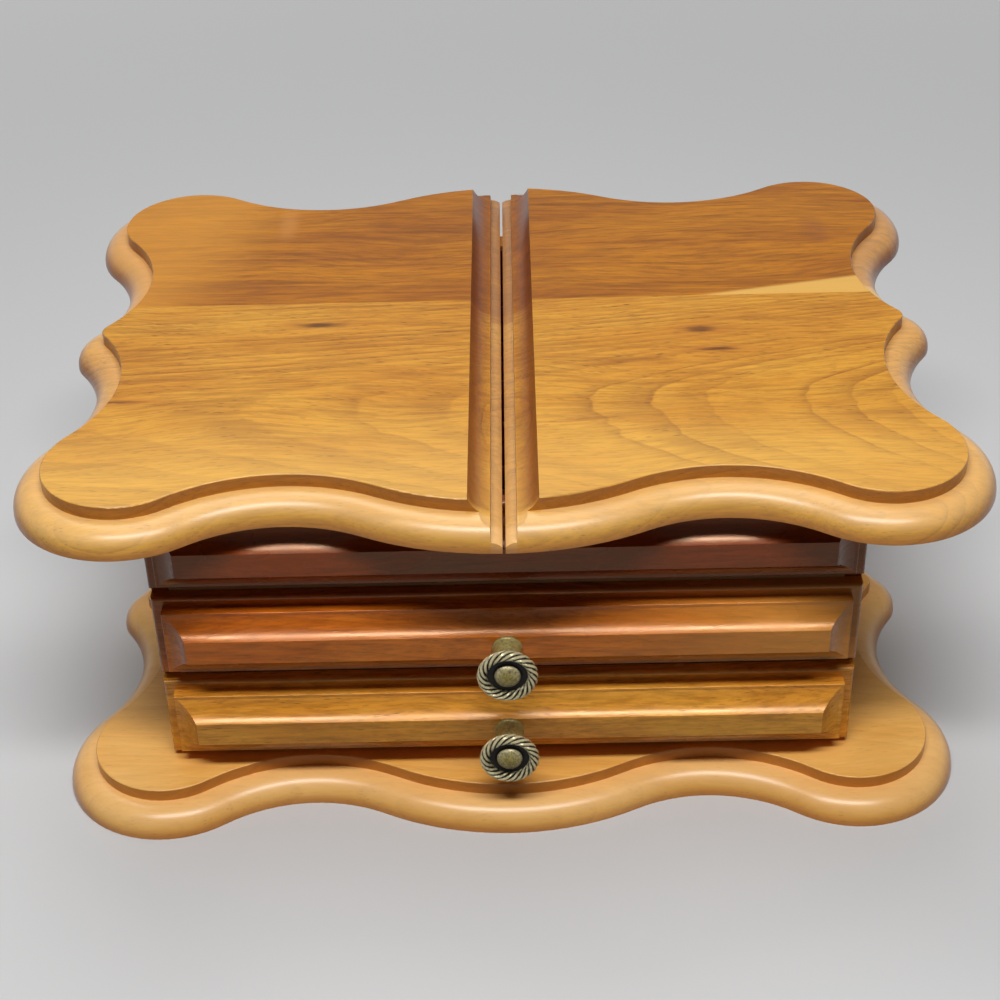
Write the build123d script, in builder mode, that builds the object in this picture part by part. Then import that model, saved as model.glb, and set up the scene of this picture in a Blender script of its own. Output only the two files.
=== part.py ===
from build123d import *
from math import atan2, degrees, hypot, radians, sin
import os

# Vanity box: a scalloped base plate, a case with two drawers under a lidded compartment,
# and two hinged lid leaves that carry a mirror each on their undersides.
# Millimetres. X runs left to right, Y front to back, Z up.
# The origin is on the resting face, under the middle of the box.

# ---- the scalloped outline, shared by the base plate and the lid ----
CORNER_X = 148.5        # centre of a corner lobe
CORNER_Y = 107.0
CORNER_R = 45.0
FRONT_LOBE_R = 116.0    # wide lobe in the middle of the front and the back
FRONT_LOBE_Y = 152.0    # how far that lobe reaches
SIDE_LOBE_R = 19.0      # small lobe in the middle of each side
SIDE_LOBE_X = 187.5     # how far that lobe reaches
FRONT_BAY_R = 65.0      # hollow between the front lobe and a corner lobe
SIDE_BAY_R = 57.5       # hollow between the side lobe and a corner lobe

# ---- the edge moulding of the base plate and the lid ----
BOARD = 16.5            # thickness of the base plate and of the lid
STEP = 5.8              # drop from the raised field to the ledge
EDGE_W = 12.4           # from the outline to the step
BEAD_R = 10.2           # quarter round between the ledge and the outline
ARRIS = 0.6             # broken edges

# ---- heights ----
TIER_H = 39.2           # a drawer front, and the false front
TIER_GAP = 4.6
LOWER_Z = BOARD + 2.2                       # bottom of the lower drawer's front
UPPER_Z = LOWER_Z + TIER_H + TIER_GAP
FALSE_Z = UPPER_Z + TIER_H + TIER_GAP
CASE_TOP = FALSE_Z + TIER_H
LID_TOP = CASE_TOP + BOARD

# ---- the case ----
CASE_X = 145.5          # half width over the side walls
WALL = 10.0
CASE_BACK = 118.5
BACK_T = 11.0
FRONT_BACK_Y = -112.0   # back face of the three front boards
INNER_X = CASE_X - WALL
INNER_BACK = CASE_BACK - BACK_T
GROOVE = 3.0            # depth of the grooves that hold the inner panels
FLOOR_T = 5.0
FLOOR_Z = FALSE_Z - TIER_GAP / 2 - FLOOR_T / 2
DIVIDER_T = 4.0
DIVIDER_Z = UPPER_Z - TIER_GAP / 2 - DIVIDER_T / 2

# ---- the front boards ----
RIM_T = 5.6             # thickness at the rim
RIM_W = 4.5             # width of the rim
RIM_ROUND = 1.6         # its rounded outer edge
FILLET_D = 5.0          # step up from the rim
FILLET_W = 1.6          # flat between the step and the cove
COVE_W = 7.9            # the shallow cove, measured across the face of the board
COVE_D = 7.0            # and through its thickness, up to the raised field
COVE_DIP = 1.0          # how far the cove sinks below a straight slope
FRONT_ARRIS = 0.4       # broken edge of the step
RIM_Y = FRONT_BACK_Y - RIM_T
FIELD_Y = RIM_Y - FILLET_D - COVE_D

# ---- the drawer boxes ----
BOX_H = 37.0
BOX_X = INNER_X - 0.6
BOX_T = 8.0
BOX_BACK = 100.0
BOX_BOTTOM_T = 3.0
BOX_BOTTOM_UP = 4.0     # from the box's lower edge to its bottom panel
BOX_GROOVE = 4.0
RUNNER_T = 2.1
LOWER_BOX_Z = BOARD + RUNNER_T + 0.2
UPPER_BOX_Z = DIVIDER_Z + DIVIDER_T + 0.2
DRAWER_TRAVEL = 150.0

# ---- knobs ----
KNOB_OUT = 20.8         # how far the button stands out from the raised field
KNOB_STEM_R = 6.3
KNOB_ROPE_R = 2.1       # thickness of the rope rim, as a radius
KNOB_ROPE_RING_R = 10.25 # radius of the ring that the rope runs round
KNOB_DISH = 17.4        # floor of the dish between the rope and the button
KNOB_BUTTON_R = 5.4

# ---- hinges ----
HINGE_AXIS_OFF = 2.6    # from the axis to the wall and to the lid's underside
HINGE_PLATE_T = 1.0
KNUCKLE_R = 2.3
PIN_R = 1.2
PIN_PLAY = 0.05
HINGE_L = 36.0
HINGE_Y = 62.0          # middle of each hinge, in front of and behind the centre
PLATE_W = 16.0
HINGE_X = CASE_X + HINGE_AXIS_OFF
HINGE_Z = CASE_TOP - HINGE_AXIS_OFF
KNUCKLES = 5
KNUCKLE_GAP = 0.2

# ---- lid leaves ----
SEAM = 1.2              # gap between the two leaves
LID_SPREAD = 1.5        # each leaf sits this much further out than the base's outline
MIRROR_T = 3.0
MIRROR_X0 = 17.0        # mirror, measured from the seam
MIRROR_X1 = 127.0
MIRROR_Y = 90.0
MIRROR_BEVEL = 9.0

# ---- lining ----
PAD_T = 3.0
LINING_T = 1.5
PARTITION_T = 5.0


def bay_centre(c1, r1, c2, r2, r, outward):
    """Centre of the hollow of radius r that is tangent to two lobes, on its outer side."""
    a = r1 + r
    b = r2 + r
    d = hypot(c2[0] - c1[0], c2[1] - c1[1])
    along = (a * a - b * b + d * d) / (2 * d)
    off = (a * a - along * along) ** 0.5
    ux = (c2[0] - c1[0]) / d
    uy = (c2[1] - c1[1]) / d
    return c1[0] + along * ux + off * outward * uy, c1[1] + along * uy - off * outward * ux


def bearing(origin, target):
    return degrees(atan2(target[1] - origin[1], target[0] - origin[0]))


front_lobe = (0.0, -(FRONT_LOBE_Y - FRONT_LOBE_R))
corner = (CORNER_X, -CORNER_Y)
side_lobe = (SIDE_LOBE_X - SIDE_LOBE_R, 0.0)
front_bay = bay_centre(front_lobe, FRONT_LOBE_R, corner, CORNER_R, FRONT_BAY_R, 1)
side_bay = bay_centre(corner, CORNER_R, side_lobe, SIDE_LOBE_R, SIDE_BAY_R, 1)


def scallop(inset=0.0):
    """The whole outline, each arc moved in by inset. It is drawn as one quarter and mirrored."""
    with BuildSketch() as outline:
        with BuildLine():
            a0 = bearing(front_lobe, front_bay)
            CenterArc(front_lobe, FRONT_LOBE_R - inset, -90, a0 + 90)
            a1 = bearing(front_bay, front_lobe)
            a2 = bearing(front_bay, corner)
            CenterArc(front_bay, FRONT_BAY_R + inset, a1, a2 - a1)
            a3 = bearing(corner, front_bay)
            a4 = bearing(corner, side_bay)
            CenterArc(corner, CORNER_R - inset, a3, a4 - a3)
            a5 = bearing(side_bay, corner)
            a6 = bearing(side_bay, side_lobe)
            if a5 < 0:
                a5 += 360
            CenterArc(side_bay, SIDE_BAY_R + inset, a5, a6 - a5)
            a7 = bearing(side_lobe, side_bay)
            CenterArc(side_lobe, SIDE_LOBE_R - inset, a7, -a7)
            mirror(about=Plane.XZ)
            mirror(about=Plane.YZ)
        make_face()
    return outline.sketch


def moulded_board(z, spread=0.0):
    """A scalloped board: a quarter-round bead all round, a ledge, a step, and the raised field."""
    with BuildPart() as board:
        with BuildSketch(Plane.XY.offset(z)):
            with Locations((spread, 0)):
                add(scallop())
        extrude(amount=BOARD - STEP)
        fillet(board.faces().sort_by(Axis.Z)[-1].edges(), BEAD_R)
        with BuildSketch(Plane.XY.offset(z + BOARD - STEP)):
            with Locations((spread, 0)):
                add(scallop(EDGE_W))
        extrude(amount=STEP)
        fillet(board.faces().sort_by(Axis.Z)[-1].edges(), ARRIS)
    return board.part


def wood_screw(head_r, shank_r, length):
    """A countersunk, slotted screw. The face of its head is on XY and its point is down."""
    with BuildPart() as screw:
        with BuildSketch(Plane.XZ):
            with BuildLine():
                Polyline(
                    (0, 0),
                    (head_r, 0),
                    (shank_r, shank_r - head_r),
                    (shank_r, -length + 2 * shank_r),
                    (0, -length),
                    close=True,
                )
            make_face()
        revolve(axis=Axis.Z)
        with BuildSketch():
            Rectangle(2 * head_r, head_r / 3.5)
        extrude(amount=-head_r / 5, mode=Mode.SUBTRACT)
    return screw.part


SECTION_ACROSS = Plane(origin=(0, 0, 0), x_dir=(0, 0, 1), z_dir=(-1, 0, 0))
SECTION_ALONG = Plane.XY


EIGHTH_TURN = 1 - sin(radians(45))      # how far a quarter arc's middle is from its corner


def round_corner(x, y, r):
    """A quarter round on an outer corner of the section, from its side to its face."""
    ThreePointArc((x, y + r), (x - r * EIGHTH_TURN, y + r * EIGHTH_TURN), (x - r, y))


def front_section(plane, half):
    """The front board's moulding: x is the distance from the board's middle, y is its depth."""
    step = half - RIM_W
    cove = step - FILLET_W
    field = cove - COVE_W
    step_y = RIM_Y - FILLET_D
    slope = hypot(COVE_W, COVE_D)
    dip_x = (cove + field) / 2 - COVE_DIP * COVE_D / slope
    dip_y = (step_y + FIELD_Y) / 2 + COVE_DIP * COVE_W / slope
    with BuildSketch(plane) as section:
        with BuildLine():
            Polyline((0, FRONT_BACK_Y), (half, FRONT_BACK_Y), (half, RIM_Y + RIM_ROUND))
            round_corner(half, RIM_Y, RIM_ROUND)
            Polyline((half - RIM_ROUND, RIM_Y), (step, RIM_Y), (step, step_y + FRONT_ARRIS))
            round_corner(step, step_y, FRONT_ARRIS)
            Line((step - FRONT_ARRIS, step_y), (cove, step_y))
            ThreePointArc((cove, step_y), (dip_x, dip_y), (field, FIELD_Y))
            Line((field, FIELD_Y), (0, FIELD_Y))
            mirror(about=Plane.YZ)
        make_face()
    return section.sketch


def front_board(z):
    """A thick front board. The same moulding runs along X and along Z, so it mitres."""
    with BuildPart() as board:
        extrude(front_section(SECTION_ACROSS, TIER_H / 2), amount=CASE_X, both=True)
        along = front_section(SECTION_ALONG, CASE_X)
        extrude(along, amount=TIER_H / 2, both=True, mode=Mode.INTERSECT)
    return board.part.moved(Location((0, 0, z + TIER_H / 2)))


def panel(x0, x1, y0, y1, z0, z1, mode=Mode.ADD):
    """A plain board between two corners, for use inside a part's own block."""
    with Locations(((x0 + x1) / 2, (y0 + y1) / 2, (z0 + z1) / 2)):
        return Box(x1 - x0, y1 - y0, z1 - z0, mode=mode)


def keep(builder, name):
    """Label a finished piece and write it."""
    builder.part.label = name
    export_step(builder.part, "parts/" + name + ".step")


os.makedirs("parts", exist_ok=True)

# ======================= screws =======================
base_screw = wood_screw(4.0, 2.0, 32.0)
hinge_screw = wood_screw(2.1, 1.1, 8.0)
screw_rows = (-82.0, 0.0, 82.0)
screw_off = 5.5         # each hinge screw's distance along Y from the middle of its hinge

with BuildPart() as base_screws:
    for x in (-CASE_X + WALL / 2, CASE_X - WALL / 2):
        for y in screw_rows:
            with Locations(Location((x, y, 0.3), (180, 0, 0))):
                add(base_screw)
keep(base_screws, "base_screws")

with BuildPart() as hinge_case_screws_right:
    for y in (-HINGE_Y, HINGE_Y):
        for off in (-screw_off, screw_off):
            place = (CASE_X + HINGE_PLATE_T, y + off * 2, HINGE_Z - 10)
            with Locations(Location(place, (0, 90, 0))):
                add(hinge_screw)
keep(hinge_case_screws_right, "hinge_case_screws_right")

with BuildPart() as hinge_lid_screws_right:
    for y in (-HINGE_Y, HINGE_Y):
        for off in (-screw_off, screw_off):
            place = (HINGE_X + 10, y + off * 2, CASE_TOP - HINGE_PLATE_T)
            with Locations(Location(place, (180, 0, 0))):
                add(hinge_screw)
keep(hinge_lid_screws_right, "hinge_lid_screws_right")

with BuildPart() as hinge_case_screws_left:
    mirror(hinge_case_screws_right.part, about=Plane.YZ)
keep(hinge_case_screws_left, "hinge_case_screws_left")

with BuildPart() as hinge_lid_screws_left:
    mirror(hinge_lid_screws_right.part, about=Plane.YZ)
keep(hinge_lid_screws_left, "hinge_lid_screws_left")

# ======================= base plate =======================
with BuildPart() as base_plate:
    add(moulded_board(0))
    for x in (-CASE_X + WALL / 2, CASE_X - WALL / 2):
        for y in screw_rows:
            with Locations((x, y, 0)):
                Cylinder(4.0, 0.3, align=(Align.CENTER, Align.CENTER, Align.MIN), mode=Mode.SUBTRACT)
    add(base_screws.part, mode=Mode.SUBTRACT)
keep(base_plate, "base_plate")

# ======================= case =======================
with BuildPart() as side_wall_right:
    panel(INNER_X, CASE_X, FRONT_BACK_Y, CASE_BACK, BOARD, CASE_TOP)
    for z, thick in ((FLOOR_Z, FLOOR_T), (DIVIDER_Z, DIVIDER_T)):
        groove = Box(
            GROOVE,
            INNER_BACK - FRONT_BACK_Y,
            thick,
            align=(Align.MIN, Align.MIN, Align.MIN),
            mode=Mode.PRIVATE,
        )
        add(groove.moved(Location((INNER_X, FRONT_BACK_Y, z))), mode=Mode.SUBTRACT)
    add(base_screws.part, mode=Mode.SUBTRACT)
    add(hinge_case_screws_right.part, mode=Mode.SUBTRACT)
keep(side_wall_right, "side_wall_right")

with BuildPart() as side_wall_left:
    mirror(side_wall_right.part, about=Plane.YZ)
keep(side_wall_left, "side_wall_left")

with BuildPart() as back_panel:
    panel(-INNER_X, INNER_X, INNER_BACK, CASE_BACK, BOARD, CASE_TOP)
keep(back_panel, "back_panel")

with BuildPart() as false_front:
    add(front_board(FALSE_Z))
keep(false_front, "false_front")

groove_x = INNER_X + GROOVE
with BuildPart() as compartment_floor:
    panel(-groove_x, groove_x, FRONT_BACK_Y, INNER_BACK, FLOOR_Z, FLOOR_Z + FLOOR_T)
keep(compartment_floor, "compartment_floor")

with BuildPart() as drawer_divider:
    panel(-groove_x, groove_x, FRONT_BACK_Y, INNER_BACK, DIVIDER_Z, DIVIDER_Z + DIVIDER_T)
keep(drawer_divider, "drawer_divider")

with BuildPart() as drawer_runners:
    for side in (-1, 1):
        panel(
            min(side * INNER_X, side * (INNER_X - 12)),
            max(side * INNER_X, side * (INNER_X - 12)),
            FRONT_BACK_Y,
            INNER_BACK,
            BOARD,
            BOARD + RUNNER_T,
        )
keep(drawer_runners, "drawer_runners")

# ======================= lining of the top compartment =======================
pad_z = FLOOR_Z + FLOOR_T
lining_top = CASE_TOP - 2.0
lining_x = INNER_X - LINING_T
lining_y0 = FRONT_BACK_Y + LINING_T
lining_y1 = INNER_BACK - LINING_T
partition_x = 43.0      # inner face of each partition, beside the ring rolls
partition_top = pad_z + PAD_T + 24.0

with BuildPart() as compartment_pad:
    panel(-lining_x + 0.2, lining_x - 0.2, lining_y0 + 0.2, lining_y1 - 0.2, pad_z, pad_z + PAD_T)
keep(compartment_pad, "compartment_pad")

with BuildPart() as compartment_lining:
    for x0, x1 in ((-INNER_X, -lining_x), (lining_x, INNER_X)):
        panel(x0, x1, FRONT_BACK_Y, INNER_BACK, pad_z, lining_top)
    for y0, y1 in ((FRONT_BACK_Y, lining_y0), (lining_y1, INNER_BACK)):
        panel(-lining_x + 0.1, lining_x - 0.1, y0, y1, pad_z, lining_top)
keep(compartment_lining, "compartment_lining")

with BuildPart() as compartment_partitions:
    for middle in (-partition_x - PARTITION_T / 2, partition_x + PARTITION_T / 2):
        x0 = middle - PARTITION_T / 2
        x1 = middle + PARTITION_T / 2
        panel(x0, x1, lining_y0 + 0.3, lining_y1 - 0.3, pad_z + PAD_T, partition_top)
keep(compartment_partitions, "compartment_partitions")

roll_count = 12
roll_y0 = lining_y0 + 1.0
roll_pitch = (lining_y1 - 1.0 - roll_y0) / roll_count
roll_r = roll_pitch / 2
with BuildPart() as ring_rolls:
    with BuildSketch(Plane.YZ):
        with Locations(((lining_y0 + lining_y1) / 2, pad_z + PAD_T + roll_r / 2)):
            Rectangle(roll_pitch * (roll_count - 1), roll_r)
        for i in range(roll_count):
            with Locations((roll_y0 + roll_pitch * (i + 0.5), pad_z + PAD_T + roll_r)):
                Circle(roll_r)
    extrude(amount=partition_x - 0.5, both=True)
keep(ring_rolls, "ring_rolls")

# ======================= lid leaves =======================
seam_x = SEAM / 2
cove_x0 = 13.8          # edge of the raised field beside the seam
cove_x1 = 5.2           # end of the cove that runs along the seam
cove_end_z = LID_TOP - 7.6
bead_x = 5.0            # the bead between the cove and the seam
bead_z = LID_TOP - 12.0
bead_end_z = LID_TOP - 13.8
with BuildPart() as lid_leaf_right:
    add(moulded_board(CASE_TOP, LID_SPREAD))
    split(bisect_by=Plane.YZ.offset(seam_x), keep=Keep.TOP)
    with BuildSketch(Plane.XZ):
        with BuildLine():
            ThreePointArc(
                (cove_x0, LID_TOP),
                (9.3, LID_TOP - 5.7),
                (cove_x1, cove_end_z),
            )
            Line((cove_x1, cove_end_z), (bead_x, bead_z))
            ThreePointArc((bead_x, bead_z), (2.6, bead_z - 0.5), (seam_x, bead_end_z))
            Polyline(
                (seam_x, bead_end_z),
                (seam_x - 2, bead_end_z),
                (seam_x - 2, LID_TOP + 1),
                (cove_x0, LID_TOP + 1),
                (cove_x0, LID_TOP),
            )
        make_face()
    extrude(amount=FRONT_LOBE_Y + 5, both=True, mode=Mode.SUBTRACT)
    panel(
        seam_x + MIRROR_X0 - 0.2,
        seam_x + MIRROR_X1 + 0.2,
        -MIRROR_Y - 0.2,
        MIRROR_Y + 0.2,
        CASE_TOP,
        CASE_TOP + MIRROR_T + 0.2,
        mode=Mode.SUBTRACT,
    )
    add(hinge_lid_screws_right.part, mode=Mode.SUBTRACT)
keep(lid_leaf_right, "lid_leaf_right")

with BuildPart() as lid_leaf_left:
    mirror(lid_leaf_right.part, about=Plane.YZ)
keep(lid_leaf_left, "lid_leaf_left")

bevel_t = 0.9           # the bevel thins the glass by this much at its edge
mirror_mid_x = seam_x + (MIRROR_X0 + MIRROR_X1) / 2
mirror_w = MIRROR_X1 - MIRROR_X0
glass_z = CASE_TOP + 0.2
with BuildPart() as mirror_right:
    for z, inset in ((glass_z, MIRROR_BEVEL), (glass_z + bevel_t, 0)):
        with BuildSketch(Plane.XY.offset(z)):
            with Locations((mirror_mid_x, 0)):
                Rectangle(mirror_w - 2 * inset, 2 * (MIRROR_Y - inset))
    loft()
    with BuildSketch(Plane.XY.offset(glass_z + bevel_t)):
        with Locations((mirror_mid_x, 0)):
            Rectangle(mirror_w, 2 * MIRROR_Y)
    extrude(amount=MIRROR_T - bevel_t)
keep(mirror_right, "mirror_right")

with BuildPart() as mirror_left:
    mirror(mirror_right.part, about=Plane.YZ)
keep(mirror_left, "mirror_left")

# ======================= hinges =======================
knuckle_l = (HINGE_L - KNUCKLE_GAP * (KNUCKLES - 1)) / KNUCKLES
knuckle_pitch = knuckle_l + KNUCKLE_GAP
hinge_turn = (90, 0, 0)


def knuckle_row(hinge_y, first, radius, extra, mode):
    """Cylinders on the hinge axis for every second knuckle, counted from first."""
    for i in range(first, KNUCKLES, 2):
        y = hinge_y - HINGE_L / 2 + knuckle_l / 2 + i * knuckle_pitch
        with Locations((HINGE_X, y, HINGE_Z)):
            Cylinder(radius, knuckle_l + 2 * extra, rotation=hinge_turn, mode=mode)


clear_r = HINGE_AXIS_OFF + 0.1
with BuildPart() as hinge_case_plates_right:
    for y in (-HINGE_Y, HINGE_Y):
        y0 = y - HINGE_L / 2
        y1 = y + HINGE_L / 2
        panel(CASE_X, CASE_X + HINGE_PLATE_T, y0, y1, HINGE_Z - PLATE_W, HINGE_Z)
        knuckle_row(y, 1, clear_r, KNUCKLE_GAP, Mode.SUBTRACT)
        knuckle_row(y, 0, KNUCKLE_R, 0, Mode.ADD)
        with Locations((HINGE_X, y, HINGE_Z)):
            Cylinder(PIN_R + PIN_PLAY, HINGE_L, rotation=hinge_turn, mode=Mode.SUBTRACT)
    add(hinge_case_screws_right.part, mode=Mode.SUBTRACT)
keep(hinge_case_plates_right, "hinge_case_plates_right")

with BuildPart() as hinge_lid_plates_right:
    for y in (-HINGE_Y, HINGE_Y):
        y0 = y - HINGE_L / 2
        y1 = y + HINGE_L / 2
        panel(HINGE_X, HINGE_X + PLATE_W, y0, y1, CASE_TOP - HINGE_PLATE_T, CASE_TOP)
        knuckle_row(y, 0, clear_r, KNUCKLE_GAP, Mode.SUBTRACT)
        knuckle_row(y, 1, KNUCKLE_R, 0, Mode.ADD)
        with Locations((HINGE_X, y, HINGE_Z)):
            Cylinder(PIN_R + PIN_PLAY, HINGE_L, rotation=hinge_turn, mode=Mode.SUBTRACT)
    add(hinge_lid_screws_right.part, mode=Mode.SUBTRACT)
keep(hinge_lid_plates_right, "hinge_lid_plates_right")

with BuildPart() as hinge_pins_right:
    for y in (-HINGE_Y, HINGE_Y):
        with Locations((HINGE_X, y, HINGE_Z)):
            Cylinder(PIN_R, HINGE_L, rotation=hinge_turn)
        for end in (-1, 1):
            with Locations((HINGE_X, y + end * (HINGE_L / 2 + 0.5), HINGE_Z)):
                Cylinder(1.9, 1.0, rotation=hinge_turn)
keep(hinge_pins_right, "hinge_pins_right")

with BuildPart() as hinge_case_plates_left:
    mirror(hinge_case_plates_right.part, about=Plane.YZ)
keep(hinge_case_plates_left, "hinge_case_plates_left")

with BuildPart() as hinge_lid_plates_left:
    mirror(hinge_lid_plates_right.part, about=Plane.YZ)
keep(hinge_lid_plates_left, "hinge_lid_plates_left")

with BuildPart() as hinge_pins_left:
    mirror(hinge_pins_right.part, about=Plane.YZ)
keep(hinge_pins_left, "hinge_pins_left")

# ======================= drawers =======================
knob_screw_r = 2.0
knob_bore = 9.0         # how far the screw goes into the knob
box_inner_x = BOX_X - BOX_T
box_inner_back = BOX_BACK - BOX_T
to_front = (90, 0, 0)   # turns a part's own +Z to -Y


def drawer(name, front_z, box_z):
    """One drawer: front, two sides, back, bottom, pad, knob and the knob's screw."""
    middle_z = front_z + TIER_H / 2
    bottom_z = box_z + BOX_BOTTOM_UP
    groove_x = box_inner_x + BOX_GROOVE
    groove_y0 = FRONT_BACK_Y - BOX_GROOVE
    groove_y1 = box_inner_back + BOX_GROOVE

    with BuildPart() as bottom:
        panel(-groove_x, groove_x, groove_y0, groove_y1, bottom_z, bottom_z + BOX_BOTTOM_T)
    keep(bottom, name + "_drawer_bottom")

    with BuildPart() as screw:
        with Locations(Location((0, FRONT_BACK_Y + 2.2, middle_z), to_front)):
            Cylinder(4.2, 2.2, align=(Align.CENTER, Align.CENTER, Align.MIN))
        with Locations(Location((0, FRONT_BACK_Y, middle_z), to_front)):
            shank = FRONT_BACK_Y - FIELD_Y + knob_bore
            Cylinder(knob_screw_r, shank, align=(Align.CENTER, Align.CENTER, Align.MIN))
        fillet(screw.edges().sort_by(Axis.Y)[-1], 1.0)
    keep(screw, name + "_knob_screw")

    with BuildPart() as front:
        add(front_board(front_z))
        add(bottom.part, mode=Mode.SUBTRACT)
        add(screw.part, mode=Mode.SUBTRACT)
    keep(front, name + "_drawer_front")

    with BuildPart() as side_right:
        panel(box_inner_x, BOX_X, FRONT_BACK_Y, BOX_BACK, box_z, box_z + BOX_H)
        add(bottom.part, mode=Mode.SUBTRACT)
    keep(side_right, name + "_drawer_side_right")

    with BuildPart() as side_left:
        mirror(side_right.part, about=Plane.YZ)
    keep(side_left, name + "_drawer_side_left")

    with BuildPart() as back:
        panel(-box_inner_x, box_inner_x, box_inner_back, BOX_BACK, box_z, box_z + BOX_H)
        add(bottom.part, mode=Mode.SUBTRACT)
    keep(back, name + "_drawer_back")

    pad_low = bottom_z + BOX_BOTTOM_T
    with BuildPart() as pad:
        panel(
            -box_inner_x + 0.3,
            box_inner_x - 0.3,
            FRONT_BACK_Y + 0.3,
            box_inner_back - 0.3,
            pad_low,
            pad_low + PAD_T,
        )
    keep(pad, name + "_drawer_pad")

    dome_h = KNOB_OUT - KNOB_DISH
    dome_r = (KNOB_BUTTON_R**2 + dome_h**2) / (2 * dome_h)
    dome_middle = (0, KNOB_OUT - dome_r)
    dome_start = bearing(dome_middle, (KNOB_BUTTON_R, KNOB_DISH))
    with BuildPart() as knob:
        with BuildSketch(Plane.XZ):
            with BuildLine():
                Polyline((0, 0), (KNOB_STEM_R, 0), (KNOB_STEM_R, 1.0))
                ThreePointArc((KNOB_STEM_R, 1.0), (5.5, 7.0), (8.0, 14.8))
                Polyline(
                    (8.0, 14.8),
                    (9.6, 15.8),
                    (9.6, KNOB_DISH),
                    (KNOB_BUTTON_R, KNOB_DISH),
                )
                CenterArc(dome_middle, dome_r, dome_start, 90 - dome_start)
                Line((0, KNOB_OUT), (0, 0))
            make_face()
            with Locations((KNOB_ROPE_RING_R, KNOB_OUT - 2.8)):
                Circle(KNOB_ROPE_R)
        revolve(axis=Axis.Z)
        from_back = (Align.CENTER, Align.CENTER, Align.MIN)
        Cylinder(knob_screw_r, knob_bore, align=from_back, mode=Mode.SUBTRACT)
    placed = knob.part.moved(Location((0, FIELD_Y, middle_z), to_front))
    placed.label = name + "_knob"
    export_step(placed, "parts/" + name + "_knob.step")


drawer("upper", UPPER_Z, UPPER_BOX_Z)
drawer("lower", LOWER_Z, LOWER_BOX_Z)

partition_z = UPPER_BOX_Z + BOX_BOTTOM_UP + BOX_BOTTOM_T + PAD_T
with BuildPart() as upper_drawer_partitions:
    for x in (-43.0, 43.0):
        panel(
            x - PARTITION_T / 2,
            x + PARTITION_T / 2,
            FRONT_BACK_Y + 0.5,
            box_inner_back - 0.5,
            partition_z,
            partition_z + 22.0,
        )
keep(upper_drawer_partitions, "upper_drawer_partitions")

print("height", LID_TOP, "hinge axis", HINGE_X, HINGE_Z, "field", FIELD_Y)
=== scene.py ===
# %% [markdown]
# # A vanity box with mirrors
# The box is a scalloped base, a case with two drawers under a lined compartment, and two lid leaves
# that open outwards on brass hinges. The wooden boards already have their right shapes in the frame,
# so this lesson gives them their finishes. The soft and the ornamental pieces, such as the velvet and
# the rope-edged knobs, are modelled here. Lengths of pieces are in metres, so a number of millimetres
# is multiplied by MM. Patterns in the finishes are in millimetres throughout.

# %% Load the frame
import bpy
from math import cos, pi, radians, sin
from mathutils import Matrix, Vector


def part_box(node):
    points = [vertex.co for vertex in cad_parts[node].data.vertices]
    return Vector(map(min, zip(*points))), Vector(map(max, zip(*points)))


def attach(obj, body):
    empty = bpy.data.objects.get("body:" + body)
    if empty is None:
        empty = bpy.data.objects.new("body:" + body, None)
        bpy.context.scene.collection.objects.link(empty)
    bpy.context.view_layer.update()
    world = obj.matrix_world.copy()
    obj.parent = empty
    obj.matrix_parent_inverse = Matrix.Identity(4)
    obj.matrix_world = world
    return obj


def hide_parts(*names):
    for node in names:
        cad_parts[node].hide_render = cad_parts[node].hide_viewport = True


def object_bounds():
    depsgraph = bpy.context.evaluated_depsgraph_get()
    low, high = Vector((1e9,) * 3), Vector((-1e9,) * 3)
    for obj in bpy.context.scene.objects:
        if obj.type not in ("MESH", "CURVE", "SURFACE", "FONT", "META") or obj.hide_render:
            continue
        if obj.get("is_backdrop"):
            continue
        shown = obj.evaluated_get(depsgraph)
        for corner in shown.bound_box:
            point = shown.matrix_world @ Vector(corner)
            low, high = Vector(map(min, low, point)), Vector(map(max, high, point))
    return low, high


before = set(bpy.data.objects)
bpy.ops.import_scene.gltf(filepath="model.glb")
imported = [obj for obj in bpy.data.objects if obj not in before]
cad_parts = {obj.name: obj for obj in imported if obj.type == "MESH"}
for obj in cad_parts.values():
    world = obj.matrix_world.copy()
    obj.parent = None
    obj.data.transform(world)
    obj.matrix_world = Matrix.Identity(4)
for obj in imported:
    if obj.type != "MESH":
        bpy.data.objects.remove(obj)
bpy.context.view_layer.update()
MM = 0.001

# %% [markdown]
# ## The camera
# The box is seen from the front and from above, by someone standing at a table. A camera is a place
# and three directions, so its matrix is written from those directions. It could also be turned by
# eye, but then the box would not sit where it should in the picture.

# %% Camera
PITCH, ROLL, YAW = 0.59561, 0.027417, 0.011931
SENSOR, LENS = 36.0, 67.433
EYE = tuple(v * MM for v in (5.84, -728.21, 560.66))

turn = Matrix.Rotation(YAW, 3, "Z") @ Matrix.Rotation(-PITCH, 3, "X") @ Matrix.Rotation(ROLL, 3, "Y")
right, ahead, up = turn.col
seeing = bpy.data.cameras.new("viewpoint")
seeing.sensor_width = SENSOR
seeing.lens = LENS
viewpoint = bpy.data.objects.new("viewpoint", seeing)
bpy.context.scene.collection.objects.link(viewpoint)
viewpoint.matrix_world = Matrix.Translation(EYE) @ Matrix((right, up, -ahead)).transposed().to_4x4()
bpy.context.scene.camera = viewpoint
print("camera looks along", [round(v, 3) for v in ahead])

# %% [markdown]
# ## Helpers for the finishes
# Every finish starts as one shader, and numbers or colours from small pattern nodes run into its
# sockets. A few short functions save most of the typing: one puts a value or a wire into a socket, and
# the others add a node and hand back its output. Colours are written as they look on a screen, from 0
# to 255, and turned into the linear light that Blender works with.

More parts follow.
